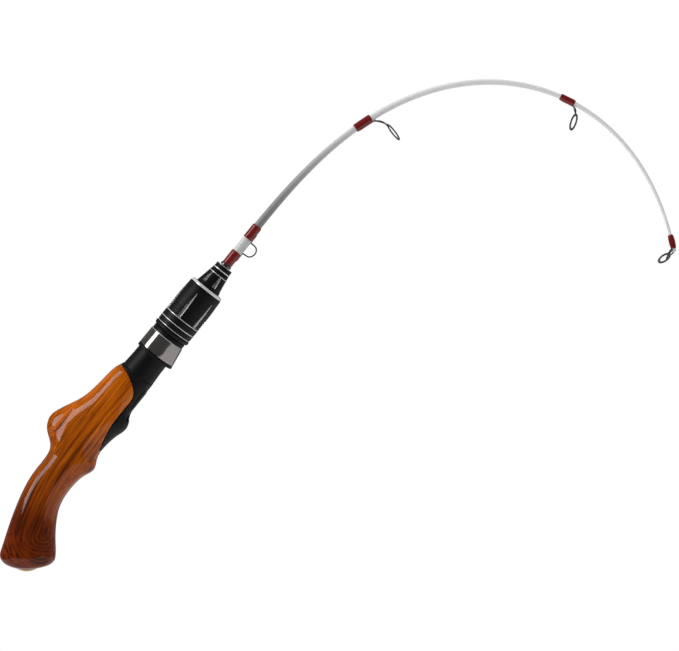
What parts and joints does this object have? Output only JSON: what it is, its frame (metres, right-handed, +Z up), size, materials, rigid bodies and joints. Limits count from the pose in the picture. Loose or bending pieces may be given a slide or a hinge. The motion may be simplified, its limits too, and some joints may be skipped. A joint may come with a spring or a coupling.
{
  "type": "ice fishing rod",
  "caption": "Short ice fishing rod with a curved wooden pistol grip, a screw-locked spinning reel seat, wire line guides and a bent white solid-glass blank.",
  "frame": {"origin": "on the seat axis, in the middle of the grip's neck, where the hand holds the rod", "axes": "+Z up as the rod is held, +X the way the tip bends over, the seat axis 51 degrees above +X in the XZ plane, +Y across the rod"},
  "size_m": [0.4531, 0.0276, 0.3296],
  "materials": {
    "lacquered_wood": "deep gloss clear lacquer over streaked orange-brown wood",
    "brass": "satin",
    "seat_black": "soft-touch satin",
    "dark_chrome": "polished",
    "black_anodised": "gloss black anodised with bright-cut edges",
    "bright_metal": "polished",
    "white_glass": "smooth solid glass fibre, white",
    "cork": "raw",
    "red_thread": "thread under clear epoxy",
    "guide_steel": "polished wire",
    "ceramic": "polished ceramic"
  },
  "bodies": {
    "handle": {"wood_grip": "lacquered_wood", "butt_medallion": "brass", "seat_body": "seat_black", "blank": "white_glass", "arbor_rear": "cork", "arbor_middle": "cork", "arbor_front": "cork", "foot_trim": "bright_metal", "keeper_wrap_lower": "red_thread", "keeper_wrap_upper": "red_thread", "hook_keeper": "guide_steel", "guide_1_frame": "guide_steel", "guide_1_ring": "ceramic", "guide_1_wrap": "red_thread", "guide_2_frame": "guide_steel", "guide_2_ring": "ceramic", "guide_2_wrap": "red_thread", "tip_top_frame": "guide_steel", "tip_top_ring": "ceramic", "tip_wrap": "red_thread"},
    "hood": {"hood_shell": "dark_chrome", "hood_lip": "seat_black", "hood_collar": "black_anodised"},
    "nut": {"nut_bead": "black_anodised", "nut_barrel": "black_anodised", "nut_thread_insert": "brass", "nut_face_ring": "bright_metal", "fore_cone": "black_anodised", "cone_collar": "black_anodised"}
  },
  "joints": [
    {"name": "nut_turn", "type": "hinge", "parent": "hood", "child": "nut", "pos_m": [0.08936, 0, 0.11035], "axis": [-0.6293, 0, -0.7771], "range_deg": [0, 1800]},
    {"name": "hood_slide", "type": "slide", "parent": "handle", "child": "hood", "axis": [-0.6293, 0, -0.7771], "range_m": [0, 0.01]}
  ],
  "couplings": [
    {"joint": "hood_slide", "follows": "nut_turn", "m_per_rad": 0.0003183}
  ]
}
